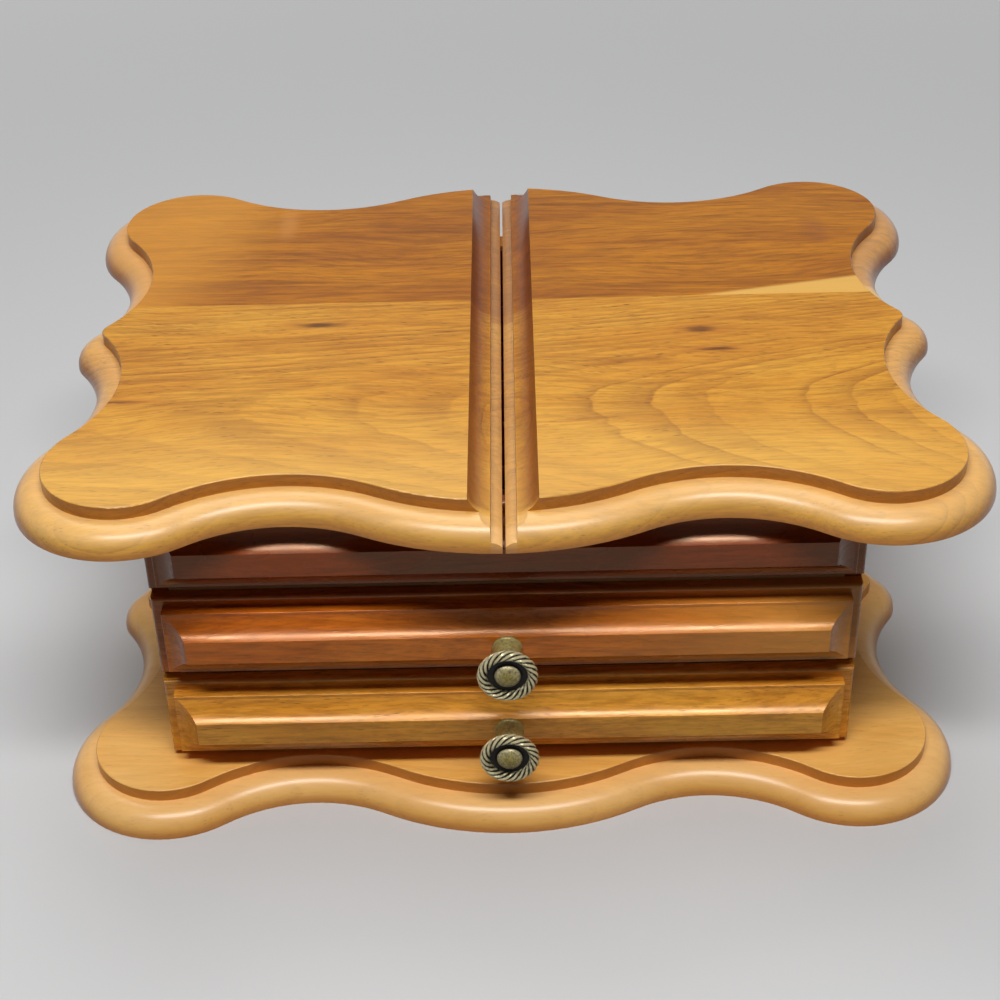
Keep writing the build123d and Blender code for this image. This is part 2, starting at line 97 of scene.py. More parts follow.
# %% Colour and sockets
def shade(*screen_colour):
    """A screen colour, as red, green and blue from 0 to 255, in linear light."""
    light = [v / 3294.6 if v <= 10 else ((v / 255 + 0.055) / 1.055) ** 2.4 for v in screen_colour]
    return (*light, 1)


def put(tree, socket, value):
    """Runs a wire into a socket, or writes a plain value there."""
    if isinstance(value, bpy.types.NodeSocket):
        tree.links.new(value, socket)
    else:
        socket.default_value = value


def start_finish(name, **constants):
    """A new finish with its node tree and shader, and the plain values given for its sockets."""
    finish = bpy.data.materials.new(name)
    finish.use_nodes = True
    shader = finish.node_tree.nodes["Principled BSDF"]
    for socket, value in constants.items():
        shader.inputs[socket.replace("_", " ")].default_value = value
    return finish, finish.node_tree, shader


print("a honey brown is", [round(v, 3) for v in shade(208, 147, 66)])

# %% Pattern nodes
def work(tree, operation, *values):
    """One step of arithmetic on numbers."""
    step = tree.nodes.new("ShaderNodeMath")
    step.operation = operation
    for socket, value in zip(step.inputs, values):
        put(tree, socket, value)
    return step.outputs[0]


def times(tree, first, *others):
    """Numbers multiplied together."""
    for other in others:
        first = work(tree, "MULTIPLY", first, other)
    return first


def axes(tree, where):
    """The x, y and z of a place."""
    split = tree.nodes.new("ShaderNodeSeparateXYZ")
    put(tree, split.inputs[0], where)
    return split.outputs


def stretch(tree, where, scale, turn=(0, 0, 0)):
    """The place where, turned and scaled along each axis."""
    mapping = tree.nodes.new("ShaderNodeMapping")
    put(tree, mapping.inputs["Vector"], where)
    mapping.inputs["Rotation"].default_value = turn
    mapping.inputs["Scale"].default_value = scale
    return mapping.outputs[0]


def cloudy(tree, where, scale, detail=2.0, rough=0.5):
    """Soft noise from 0 to 1, with its own scale along each axis."""
    noise = tree.nodes.new("ShaderNodeTexNoise")
    put(tree, noise.inputs["Vector"], stretch(tree, where, scale))
    noise.inputs["Scale"].default_value = 1.0
    noise.inputs["Detail"].default_value = detail
    noise.inputs["Roughness"].default_value = rough
    return noise.outputs["Fac"]


def drift(tree, noise, reach):
    """Noise from 0 to 1, moved to lie round 0 and spread over reach."""
    return times(tree, work(tree, "SUBTRACT", noise, 0.5), reach)


def between(tree, value, low, high, to_low=0.0, to_high=1.0, soft=True):
    """Stretches low..high to to_low..to_high and stops at both ends."""
    span = tree.nodes.new("ShaderNodeMapRange")
    span.interpolation_type = "SMOOTHSTEP" if soft else "LINEAR"
    for socket, given in zip(span.inputs, (value, low, high, to_low, to_high)):
        put(tree, socket, given)
    return span.outputs[0]


def blend(tree, amount, first, second, way="MIX"):
    """Goes from the first colour to the second by amount."""
    mix = tree.nodes.new("ShaderNodeMix")
    mix.data_type = "RGBA"
    mix.blend_type = way
    for socket, given in zip((mix.inputs[0], mix.inputs[6], mix.inputs[7]), (amount, first, second)):
        put(tree, socket, given)
    return mix.outputs[2]


def bumps(tree, shader, height, depth, strength=1.0):
    """Lets a height pattern tilt the surface; depth is in metres."""
    bump = tree.nodes.new("ShaderNodeBump")
    bump.inputs["Strength"].default_value = strength
    bump.inputs["Distance"].default_value = depth
    put(tree, bump.inputs["Height"], height)
    put(tree, shader.inputs["Normal"], bump.outputs[0])


def place_in_mm(tree):
    """Where a point of the piece is, in millimetres, and the way its surface faces."""
    coords = tree.nodes.new("ShaderNodeTexCoord")
    return stretch(tree, coords.outputs["Object"], (1000, 1000, 1000)), coords.outputs["Normal"]


print("finish helpers ready")

# %% [markdown]
# ## The floor and the light
# Varnish shows its shape by what it reflects. A long lamp high in front of the box draws a bright line
# along every round edge and cove, and its light stops cleanly under each moulding, as ceiling tubes do
# over a table. A second one, above and a little behind, does the same for the lid, and a broad faint
# lamp fills the far side. The floor is a plain pale plane that takes the shadow. To the camera, and in
# metal and varnish, it is pale; towards the box it throws back less light, so that the recesses between
# the drawers stay deep. The room behind is pale as far up as a paper backdrop would go, and dim above
# it, because flat varnish that mirrors a pale ceiling loses its colour.

# %% Light paths
def seen_directly(tree):
    """1 for what the camera, a reflection or a clear piece shows, and 0 for light on its way round."""
    ray = tree.nodes.new("ShaderNodeLightPath").outputs
    seen_or_mirrored = work(tree, "MAXIMUM", ray["Is Camera Ray"], ray["Is Glossy Ray"])
    return work(tree, "MAXIMUM", seen_or_mirrored, ray["Is Transmission Ray"])


# %% Floor
FLOOR_SIZE = 12.0
TO_THE_EYE, TO_THE_BOX = (0.6, 0.6, 0.6, 1), (0.06, 0.057, 0.053, 1)
GLOW, GLOW_STARTS, GLOW_IS_FULL = 0.5, 0.5, 2.2

bpy.ops.mesh.primitive_plane_add(size=FLOOR_SIZE)
floor = bpy.context.object
floor.name = "floor"
pale, tree, shader = start_finish("pale_floor", Roughness=0.75, Emission_Color=(1, 1, 1, 1))
seen = seen_directly(tree)
put(tree, shader.inputs["Base Color"], blend(tree, seen, TO_THE_BOX, TO_THE_EYE))
reach = tree.nodes.new("ShaderNodeVectorMath")
reach.operation = "LENGTH"
put(tree, reach.inputs[0], tree.nodes.new("ShaderNodeTexCoord").outputs["Object"])
glow = between(tree, reach.outputs["Value"], GLOW_STARTS, GLOW_IS_FULL, 0.0, GLOW)
put(tree, shader.inputs["Emission Strength"], times(tree, glow, seen))
floor.data.materials.append(pale)
floor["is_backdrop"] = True
print("floor at z = 0,", floor.dimensions.x, "m wide")

# %% Lamps
def soft_lamp(name, place, aim, wide, deep, power):
    """A lamp, wide from left to right and deep the other way, at place and looking at aim."""
    light = bpy.data.lights.new(name, "AREA")
    light.shape = "RECTANGLE"
    light.size = wide
    light.size_y = deep
    light.energy = power
    lamp = bpy.data.objects.new(name, light)
    bpy.context.scene.collection.objects.link(lamp)
    lamp.location = place
    lamp.rotation_euler = (Vector(aim) - Vector(place)).to_track_quat("-Z", "Y").to_euler()


soft_lamp("front_strip", (0.0, -0.72, 1.57), (0, -0.1, 0.1), 1.3, 0.2, 23)
soft_lamp("top_panel", (0.0, 0.3, 1.7), (0, -0.05, 0.1), 1.2, 0.8, 6.5)
soft_lamp("rear_fill", (-0.3, 1.0, 1.7), (0, 0.1, 0.1), 1.0, 0.6, 7)

# %% World
BACKDROP, CEILING = 0.56, 0.16
BACKDROP_ENDS, CEILING_STARTS = 0.08, 0.4

world = bpy.data.worlds.new("room")
bpy.context.scene.world = world
world.use_nodes = True
room = world.node_tree
dim_light = room.nodes["Background"]
dim_light.inputs["Color"].default_value = (0.92, 0.96, 1.0, 1)
dim_light.inputs["Strength"].default_value = 0.05
height = axes(room, room.nodes.new("ShaderNodeTexCoord").outputs["Generated"])[2]
walls = room.nodes.new("ShaderNodeBackground")
put(room, walls.inputs["Color"], between(room, height, BACKDROP_ENDS, CEILING_STARTS, BACKDROP, CEILING))
choose = room.nodes.new("ShaderNodeMixShader")
for socket, given in zip(choose.inputs, (seen_directly(room), dim_light.outputs[0], walls.outputs[0])):
    put(room, socket, given)
put(room, room.nodes["World Output"].inputs["Surface"], choose.outputs[0])
bpy.context.scene.view_settings.view_transform = "Standard"
print("room is", BACKDROP, "bright behind the box and", CEILING, "above it")

# %% [markdown]
# ## Wood
# A board is a slice out of a trunk, so its pattern is solid: the same year rings show as arches on the
# face and as curved lines on the end. The rings are tubes round the pith, a line that lies below or
# beside the board, and a slight lean of that line makes the arches. A picture of wood on each face
# could not turn a corner like that. Over the rings lie long soft clouds, fine fibres, and pores, which
# are short dark dashes along the grain. The end of the grain drinks more stain and is darker.

# %% Grain
WANDER = 3.0  # how far the rings stray, in mm
BARK = 60.81  # the years are counted inwards from here


def ring_depth(tree, where, pith, lean, bow=0.0, start=-200, squeeze=1.0):
    """How far out in the trunk a point lies. The grain runs along x from start."""
    x, y, z = axes(tree, where)
    aside = work(tree, "SUBTRACT", y, pith[0])
    aside = times(tree, aside, between(tree, aside, -10, 25, 1.0, squeeze))
    below = work(tree, "SUBTRACT", z, pith[1])
    radius = work(tree, "SQRT", work(tree, "MULTIPLY_ADD", aside, aside, times(tree, below, below)))
    along = work(tree, "SUBTRACT", x, start)
    slide = times(tree, along, work(tree, "MULTIPLY_ADD", along, bow, lean))
    sway = drift(tree, cloudy(tree, where, (0.014, 0.035, 0.035), 3, 0.55), WANDER)
    kink = drift(tree, cloudy(tree, where, (0.07, 0.13, 0.13)), 0.35 * WANDER)
    return work(tree, "ADD", work(tree, "SUBTRACT", radius, slide), work(tree, "ADD", sway, kink))


def year_rings(tree, depth, gap):
    """Two patterns of each year: a tone that deepens slowly and ends sharply, and the line it ends in."""
    year = work(tree, "FRACT", work(tree, "SUBTRACT", BARK, work(tree, "DIVIDE", depth, gap)))
    uneven = tree.nodes.new("ShaderNodeTexNoise")
    uneven.noise_dimensions = "1D"
    put(tree, uneven.inputs["W"], depth)
    uneven.inputs["Scale"].default_value = 0.5 / gap
    uneven.inputs["Detail"].default_value = 1.0
    fainter = between(tree, uneven.outputs["Fac"], 0.36, 0.6, 0.15, 1.0)
    end = times(tree, between(tree, year, 0.94, 1.0, 1.0, 0.0), fainter)
    return times(tree, between(tree, year, 0.05, 0.94), end), times(tree, between(tree, year, 0.8, 0.94), end)


def pores(tree, where, spread=0.9, long=7, width=0.3):
    """Short dashes along the grain, 1 in a pore and 0 beside it."""
    cells = tree.nodes.new("ShaderNodeTexVoronoi")
    put(tree, cells.inputs["Vector"], stretch(tree, where, (spread / long, spread, spread)))
    cells.inputs["Scale"].default_value = 1.0
    patchy = between(tree, cloudy(tree, where, (0.03, 0.15, 0.15)), 0.35, 0.6, 0.3, 1.0)
    return times(tree, between(tree, cells.outputs["Distance"], 0.3 * width, width, 1.0, 0.0), patchy)


def swayed(tree, where, reach):
    """The place where, pushed aside by soft noise, so that streaks don't run dead straight."""
    x, y, z = axes(tree, where)
    push = drift(tree, cloudy(tree, where, (0.008, 0.02, 0.02), 1), reach)
    moved = tree.nodes.new("ShaderNodeCombineXYZ")
    for socket, value in zip(moved.inputs, (x, work(tree, "ADD", y, push), z)):
        put(tree, socket, value)
    return moved.outputs[0]


# %% Tones of one board
def tones(*screen_colours):
    """The light, the warm and the dark tone of a board."""
    return [shade(*colour) for colour in screen_colours]


def board_tones(tree, where, depth, board_colours, gap, ring, streak, pore):
    """The colour of a board: soft clouds, then the rings, then short streaks, then the pores."""
    light, warm, dark = board_colours
    clouds = cloudy(tree, where, (0.01, 0.035, 0.035), 4, 0.62)
    colour = blend(tree, between(tree, clouds, 0.36, 0.64), light, warm)
    tone, line = year_rings(tree, depth, gap)
    strength = between(tree, cloudy(tree, where, (0.012, 0.05, 0.05), 1), 0.3, 0.7, 0.4 * ring, ring)
    broken = between(tree, cloudy(tree, where, (0.22, 0.7, 0.7), 2, 0.6), 0.4, 0.6, 0.2, 1.0)
    marks = work(tree, "MULTIPLY_ADD", tone, 0.55, times(tree, line, broken, 0.4))
    colour = blend(tree, times(tree, marks, strength), colour, dark)
    where = swayed(tree, where, 32)
    streaks = between(tree, cloudy(tree, where, (0.016, 0.26, 0.26), 3, 0.6), 0.45, 0.75, 0.0, streak)
    colour = blend(tree, streaks, colour, dark)
    fine = between(tree, cloudy(tree, where, (0.07, 0.8, 0.8), 4, 0.7), 0.4, 0.66, 0.0, 0.9 * streak)
    colour = blend(tree, fine, colour, dark)
    holes = times(tree, pores(tree, where), between(tree, tone, 0.0, 0.9, 0.55, 1.0))
    deep = tuple(0.3 * v for v in dark[:3]) + (1,)
    return blend(tree, times(tree, holes, pore), colour, deep), fine, holes


# %% Edges and varnish
STEP = 5.8


def moulded_edge(tree, z, normal, colour, top, outside=1.0):
    """The edge of the lid or the base, which steps down from its top to a ledge and ends in a bead.
    The wall of the step is darker. The top of the bead is paler, as sanded wear and a painted highlight,
    and where it turns under it is darker, as painted shade."""
    ledge = top - STEP
    up = axes(tree, normal)[2]
    upright = between(tree, work(tree, "ABSOLUTE", up), 0.5, 0.25)
    inside = times(tree, between(tree, z, ledge, ledge + 0.3), between(tree, z, top - 0.3, top, 1.0, 0.0))
    colour = blend(tree, times(tree, upright, inside), colour, shade(214, 184, 140), "MULTIPLY")
    below = times(tree, between(tree, z, ledge + 0.15, ledge + 0.05, soft=False), outside)
    # Top of the bead: paler as sanded wear, and a painted highlight from the lamps above.
    wear_and_highlight = times(tree, below, between(tree, up, 0.35, 0.7, 0.0, 0.32))
    colour = blend(tree, wear_and_highlight, colour, shade(250, 206, 150))
    # Where the bead turns under: painted shade, darker and redder.
    under = times(tree, below, between(tree, up, 0.5, 0.0, 0.0, 0.8))
    return blend(tree, under, colour, shade(238, 200, 186), "MULTIPLY")


VARNISH = {"Coat_Weight": 0.85, "Coat_Roughness": 0.3, "Specular_IOR_Level": 0.12}
THIN_VARNISH = {**VARNISH, "Coat_Weight": 0.55}
SEAL = {**VARNISH, "Coat_Weight": 0.0}
WARM_POLISH = {**SEAL, "Specular_IOR_Level": 0.75, "Specular_Tint": shade(255, 214, 176)}


def varnish(tree, shader, where, normal, colour, fine, holes, end_axis=0, rough=0.3):
    """Darkens the end grain and lets the surface sink a little into the pores."""
    end = between(tree, work(tree, "ABSOLUTE", axes(tree, normal)[end_axis]), 0.5, 0.98, 0.0, 0.55)
    colour = blend(tree, end, colour, shade(188, 140, 108), "MULTIPLY")
    put(tree, shader.inputs["Base Color"], colour)
    uneven = cloudy(tree, where, (0.03, 0.08, 0.08))
    put(tree, shader.inputs["Roughness"], between(tree, uneven, 0.3, 0.7, rough, rough + 0.1))
    bumps(tree, shader, work(tree, "SUBTRACT", times(tree, fine, 0.6), holes), 0.00005, 0.4)


def dress(finish, *names):
    """Gives the finish to CAD nodes."""
    for name in names:
        for slot in bpy.data.objects[name].material_slots:
            slot.material = finish
    print(finish.name, "on", len(names), "nodes")


print("the ledge round the lid and the base lies", STEP, "mm down")

# %% [markdown]
# ## The lid
# Both leaves were sawn from one glued panel, so the pattern runs on across the seam. The front board is
# honey brown and shows arches, because it was cut beside the pith, and it is painted paler towards its
# front edge as a sheen. The board behind the glue line is redder, with straight grain, and has a wedge
# of pale sapwood at its edge. A few small knots are laid over both, as are the ledges beside the seam,
# stained and with painted shade in their cove, and a painted highlight on the seam bead. One finish in
# the frame's own millimetres does all of this, and neither leaf needs a pattern of its own.

# %% Lid boards
GLUE_LINE = 21.0
SAPWOOD, SAPWOOD_SLOPE = 1.3, 0.22

lid_wood, tree, shader = start_finish("lid_boards", **VARNISH)
where, normal = place_in_mm(tree)
x, y, z = axes(tree, where)

depth = ring_depth(tree, where, (-70, 12), 0.04, 0.0003, start=-160, squeeze=1.8)
honey = tones((224, 162, 54), (212, 144, 40), (132, 70, 16))
front_board, fine, holes = board_tones(tree, where, depth, honey, 4.1, 0.86, 0.42, 0.8)
# Paler towards the front edge: a painted sheen.
front_board = blend(tree, between(tree, y, -60, -125, 0.0, 0.35), front_board, shade(246, 196, 104))

depth = ring_depth(tree, where, (230, 100), 0.02, start=-160)
reddish = tones((198, 124, 10), (174, 102, 6), (106, 54, 4))
rear_board, _, _ = board_tones(tree, where, depth, reddish, 6.5, 0.6, 0.5, 0.3)
its_edge = work(tree, "MULTIPLY_ADD", x, SAPWOOD_SLOPE, SAPWOOD)
sapwood = between(tree, work(tree, "SUBTRACT", y, its_edge), 1.5, -1.5)
rear_board = blend(tree, times(tree, sapwood, 0.85), rear_board, shade(232, 182, 92))
rear_left = between(tree, work(tree, "SUBTRACT", x, times(tree, y, 0.3)), -120, -180, 0.0, 0.5)
rear_board = blend(tree, rear_left, rear_board, shade(226, 156, 56))

behind = between(tree, y, GLUE_LINE - 0.2, GLUE_LINE + 0.2, soft=False)
colour = blend(tree, behind, front_board, rear_board)
print("lid boards meet at y =", GLUE_LINE, "mm")

# %% Knots in the lid
KNOTS = (  # the middle, the size and the strength of each
    ((-80, 0.7), (15, 3.4), 0.85),
    ((86.5, -10.3), (10, 4.0), 0.7),
    ((93, -28), (13, 2.4), 0.8),
    ((-161, -62), (16, 1.8), 0.7),
)
STAINS = (((-103, 102), (7, 26), shade(206, 138, 66)), ((150, 84), (9, 24), shade(146, 84, 34)))


def spot(tree, x, y, middle, size):
    """An oval mark, 1 in its middle and 0 outside."""
    far_x = work(tree, "DIVIDE", work(tree, "SUBTRACT", x, middle[0]), size[0])
    far_y = work(tree, "DIVIDE", work(tree, "SUBTRACT", y, middle[1]), size[1])
    far = work(tree, "SQRT", work(tree, "MULTIPLY_ADD", far_x, far_x, times(tree, far_y, far_y)))
    return between(tree, far, 1.0, 0.15)


y_ragged = work(tree, "ADD", y, drift(tree, cloudy(tree, where, (0.12, 0.7, 0.7), 3), 4.0))
for middle, size, strength in KNOTS:
    halo = spot(tree, x, y_ragged, middle, (2.4 * size[0], 2.8 * size[1]))
    colour = blend(tree, times(tree, halo, 0.35), colour, shade(176, 100, 30))
    heart = spot(tree, x, y_ragged, middle, size)
    colour = blend(tree, times(tree, heart, strength), colour, shade(78, 38, 14))
for middle, size, tint in STAINS:
    colour = blend(tree, times(tree, spot(tree, x, y, middle, size), 0.45), colour, tint)
print(len(KNOTS), "knots and", len(STAINS), "stains")

# %% Lid edges
SEAM_WIDTH, SEAM_BEAD, SEAM_FRONT = 14.0, 5.0, -139.0
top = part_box("lid_leaf_left")[1][2] * 1000
bead_top, seam_foot = top - 11.4, top - 14.0

from_seam = work(tree, "ABSOLUTE", x)
# The ledges beside the seam: stained darker and redder, with painted shade that deepens towards the steep
# side by the field.
cove_stain_and_shade = times(
    tree,
    between(tree, from_seam, SEAM_WIDTH, SEAM_WIDTH - 0.3, soft=False),
    between(tree, z, top - 0.1, top - 0.4, soft=False),
    between(tree, from_seam, 4.2, 12.0, 0.35, 1.0),
    between(tree, y, SEAM_FRONT, SEAM_FRONT + 4),
)
colour = blend(tree, times(tree, cove_stain_and_shade, 0.85), colour, shade(186, 148, 118), "MULTIPLY")
# The seam bead is tinted paler: a painted highlight.
seam_bead_highlight = times(
    tree,
    between(tree, from_seam, SEAM_BEAD + 0.1, SEAM_BEAD - 0.1, soft=False),
    between(tree, z, bead_top, bead_top - 0.4, soft=False),
)
colour = blend(tree, times(tree, seam_bead_highlight, 0.2), colour, shade(232, 200, 158))
outside = work(tree, "MAXIMUM", between(tree, from_seam, SEAM_WIDTH, SEAM_WIDTH + 0.3),
               between(tree, z, seam_foot, seam_foot - 0.4))
outside = work(tree, "MAXIMUM", outside, between(tree, y, SEAM_FRONT, SEAM_FRONT - 2))
colour = moulded_edge(tree, z, normal, colour, top, outside)
varnish(tree, shader, where, normal, colour, fine, holes)
dress(lid_wood, "lid_leaf_left", "lid_leaf_right")

# %% [markdown]
# ## The other boards
# The rest are single boards with a name, a direction and their own place in the trunk. The base is a
# plain honey board. The three fronts came from different parts of a darker plank: the top one is the
# reddest, and the lowest is nearly as pale as the base. They are rubbed to a warm polish, where the
# base and the lid have a thicker coat. Inside, the drawer boxes are pale unstained wood with only a
# seal on them.

# %% A single board
def board(name, along, colours, pith, lean, gap, bow=0.0, ring=0.5, streak=0.3, pore=0.45, rough=0.3,
          coat=THIN_VARNISH, top=None, pale_end=None):
    """A finish for boards whose grain runs along X or Y. A top is that of a moulded edge."""
    finish, tree, shader = start_finish(name, **coat)
    where, normal = place_in_mm(tree)
    run = where if along == "X" else stretch(tree, where, (1, 1, 1), (0, 0, -pi / 2))
    depth = ring_depth(tree, run, pith, lean, bow)
    colour, fine, holes = board_tones(tree, run, depth, colours, gap, ring, streak, pore)
    x, y, z = axes(tree, where)
    if pale_end:
        colour = blend(tree, between(tree, x, 20, 130, 0.0, 0.55), colour, pale_end)
    if top:
        colour = moulded_edge(tree, z, normal, colour, top)
    varnish(tree, shader, run, normal, colour, fine, holes, "XY".index(along), rough)
    return finish


PALE = tones((250, 192, 104), (240, 176, 84), (188, 120, 44))
finish = board("base_board", "X", PALE, (40, -100), 0.03, 5.0, bow=0.0002, ring=0.25, streak=0.12,
               pore=0.25, coat=VARNISH, top=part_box("base_plate")[1][2] * 1000)
dress(finish, "base_plate")

RED_BROWN = tones((150, 62, 14), (132, 50, 10), (70, 24, 4))
finish = board("false_front_board", "X", RED_BROWN, (-60, 60), 0.03, 3.2, streak=0.4, rough=0.22,
               coat=WARM_POLISH)
dress(finish, "false_front")

ORANGE_BROWN = tones((224, 124, 32), (204, 102, 20), (108, 46, 8))
finish = board("upper_front_board", "X", ORANGE_BROWN, (-70, 160), 0.08, 4.0, streak=0.42, rough=0.2,
               coat=WARM_POLISH, pale_end=shade(224, 160, 72))
dress(finish, "upper_drawer_front")

GOLDEN = tones((244, 174, 64), (230, 150, 48), (146, 86, 22))
finish = board("lower_front_board", "X", GOLDEN, (-90, -40), 0.04, 4.0, streak=0.5, pore=0.6, rough=0.2,
               coat=WARM_POLISH)
dress(finish, "lower_drawer_front")

BROWN = tones((198, 124, 46), (184, 106, 34), (118, 60, 18))
dress(board("side_boards", "Y", BROWN, (0, -40), 0.02, 4.2), "side_wall_left", "side_wall_right")
DUSKY = tones((192, 118, 42), (174, 100, 32), (116, 60, 18))
dress(board("back_board", "X", DUSKY, (0, -40), 0.02, 4.2), "back_panel")

# %% Drawer boxes
UNSTAINED = tones((222, 190, 140), (212, 176, 124), (176, 132, 84))
for name, along, parts, others in (
    ("drawer_side_boards", "Y", ("side_left", "side_right"), ("drawer_runners",)),
    ("drawer_cross_boards", "X", ("back", "bottom"), ("compartment_floor", "drawer_divider")),
):
    finish = board(name, along, UNSTAINED, (0, -60), 0.02, 3.2, ring=0.35, streak=0.2, pore=0.2, rough=0.5,
                   coat=SEAL)
    dress(finish, *others, *(f"{level}_drawer_{part}" for level in ("upper", "lower") for part in parts))

# %% [markdown]
# ## Metal and mirrors
# Hinges and screws are bought brass, lacquered and a little dull. Faint cloudy differences in
# roughness keep such metal from looking like plastic. The knobs are an older kind of brass with dark
# patina in every hollow.

# %% Metal finishes
def metal(name, bright, dull, low_rough, high_rough, scale=0.4, grain=0.00003):
    """A metal whose colour and polish drift softly from place to place."""
    finish, tree, shader = start_finish(name, Metallic=1.0)
    where, normal = place_in_mm(tree)
    patches = cloudy(tree, where, (scale,) * 3, 4, 0.6)
    put(tree, shader.inputs["Base Color"], blend(tree, between(tree, patches, 0.35, 0.65), bright, dull))
    put(tree, shader.inputs["Roughness"], between(tree, patches, 0.3, 0.7, low_rough, high_rough))
    if grain:
        bumps(tree, shader, cloudy(tree, where, (3, 3, 3), 3), grain, 0.4)
    return finish


SIDES = ("left", "right")
brass = metal("hinge_brass_finish", shade(226, 190, 112), shade(196, 156, 84), 0.24, 0.4)
dress(brass, *(f"hinge_{part}_{side}" for part in ("case_plates", "lid_plates", "pins") for side in SIDES))
brass = metal("screw_brass_finish", shade(216, 178, 102), shade(184, 144, 76), 0.26, 0.42)
dress(brass, "base_screws", *(f"hinge_{part}_screws_{side}" for part in ("case", "lid") for side in SIDES))
steel = metal("screw_steel_finish", shade(188, 190, 192), shade(150, 150, 152), 0.25, 0.42)
dress(steel, "upper_knob_screw", "lower_knob_screw")
silver = metal("mirror_silver", shade(238, 242, 242), shade(232, 237, 238), 0.01, 0.02, 0.03, 0)
dress(silver, "mirror_left", "mirror_right")

# %% [markdown]
# ## The knobs
# A knob is cast brass: a short stem on a foot, a dark dish, a domed button in the middle, and a rim
# like a rope. The round parts could be spun from a drawn outline. Here they are built as a turner
# works, ring by ring, because each ring is then a radius and a height that can be read off. The rope
# is a fluted bar that is first twisted and then bent into a hoop, which gives its slanted strands.

# %% Shaping by hand
CREASE = radians(50)


def take(*pieces):
    """Selects these pieces alone and makes the first one active."""
    bpy.ops.object.select_all(action="DESELECT")
    for piece in pieces:
        piece.select_set(True)
    bpy.context.view_layer.objects.active = pieces[0]


def open_piece(piece):
    """Takes one piece and opens it for editing."""
    take(piece)
    bpy.ops.object.mode_set(mode="EDIT")


def pick(piece, kind, wanted):
    """In an open piece, selects the vertices, edges or faces that wanted() says yes to."""
    bpy.ops.mesh.select_mode(type={"vertices": "VERT", "edges": "EDGE", "polygons": "FACE"}[kind])
    bpy.ops.mesh.select_all(action="DESELECT")
    bpy.ops.object.mode_set(mode="OBJECT")
    found = 0
    for part in getattr(piece.data, kind):
        part.select = bool(wanted(part))
        found += part.select
    bpy.ops.object.mode_set(mode="EDIT")
    return found


def close_piece(tidy=0.01 * MM):
    """Merges doubles, turns the faces outwards and leaves edit mode."""
    bpy.ops.mesh.select_all(action="SELECT")
    bpy.ops.mesh.remove_doubles(threshold=tidy)
    bpy.ops.mesh.normals_make_consistent(inside=False)
    bpy.ops.object.mode_set(mode="OBJECT")


def pull(way):
    """Draws new faces out of what is selected, in metres."""
    bpy.ops.mesh.extrude_region_move(TRANSFORM_OT_translate={"value": way})


def set_modifier(piece, kind, **settings):
    """Puts a modifier on a taken piece, with its settings, and applies it."""
    modifier = piece.modifiers.new(kind.lower(), kind)
    for setting, value in settings.items():
        setattr(modifier, setting, value)
    bpy.ops.object.modifier_apply(modifier=modifier.name)


# %% Turning
BUTTON, DOME_FOOT, DOME_RISE, LIP = 5.4, 17.9, 2.9, 9.6
HOLE = [(0.01, 8.8), (1.9, 9.0), (2.0, 8.6), (2.0, 0.0)]
FOOT = [(6.0, 0.0), (6.3, 0.3), (6.3, 0.9), (6.0, 1.3), (5.8, 1.6)]
STEM = [(5.65, 3.6), (5.55, 6.4), (5.6, 9.2), (5.95, 11.8), (6.7, 13.7), (7.8, 14.9), (9.0, 15.8)]
DISH = [(LIP, 16.6), (9.4, 17.5), (8.6, 17.2), (7.2, 17.0), (6.1, 17.1), (5.55, 17.4), (BUTTON, DOME_FOOT)]
CLIMB = [radians(degrees) for degrees in (12, 24, 36, 48, 60, 70, 80, 89.9)]
DOME = [(BUTTON * cos(angle), DOME_FOOT + DOME_RISE * sin(angle)) for angle in CLIMB]


def turned(name, sides, rings):
    """Turns a piece about the z axis. Each ring is a radius and a height, in millimetres."""
    radius, height = rings[0]
    bpy.ops.mesh.primitive_circle_add(vertices=sides, radius=radius * MM, location=(0, 0, height * MM))
    piece = bpy.context.object
    piece.name = name
    bpy.ops.object.transform_apply()
    bpy.ops.object.mode_set(mode="EDIT")
    for (radius, height), (next_radius, next_height) in zip(rings, rings[1:]):
        pull((0, 0, (next_height - height) * MM))
        growth = next_radius / radius
        bpy.ops.transform.resize(value=(growth, growth, 1), center_override=(0, 0, 0))
    close_piece(0.03 * MM)
    return piece


body = turned("knob_body", 48, HOLE + FOOT + STEM + DISH + DOME)
print(body.name, len(body.data.polygons), "faces")

# %% Rope rim
ROPE, HOOP, RIM = 2.1, 10.25, 18.0
STRANDS, CORNERS, TWISTS = 5, 6, 4
GROOVE_SIDES, GROOVE_FLOOR = ((1, 5), 0.86), ((0,), 0.6)

length = 2 * pi * HOOP * MM
bpy.ops.mesh.primitive_circle_add(
    vertices=STRANDS * CORNERS, radius=ROPE * MM, location=(-length / 2, 0, 0), rotation=(0, pi / 2, 0)
)
rope = bpy.context.object
rope.name = "knob_rope"
bpy.ops.object.transform_apply()
open_piece(rope)
for corners, size in (GROOVE_SIDES, GROOVE_FLOOR):
    grooves = pick(rope, "vertices", lambda v: v.index % CORNERS in corners)
    bpy.ops.transform.resize(value=(1, size, size), center_override=(-length / 2, 0, 0))
bpy.ops.mesh.select_all(action="SELECT")
pull((length, 0, 0))


def runs_along(edge):
    """Says if an edge of the bar runs lengthwise."""
    start, end = (rope.data.vertices[v].co for v in edge.vertices)
    return abs(start.x - end.x) > 1e-6


for cuts in (11, 15):
    pick(rope, "edges", runs_along)
    bpy.ops.mesh.subdivide(number_cuts=cuts)
bpy.ops.object.mode_set(mode="OBJECT")
print("rope bar has", grooves, "grooves and", len(rope.data.polygons), "faces")

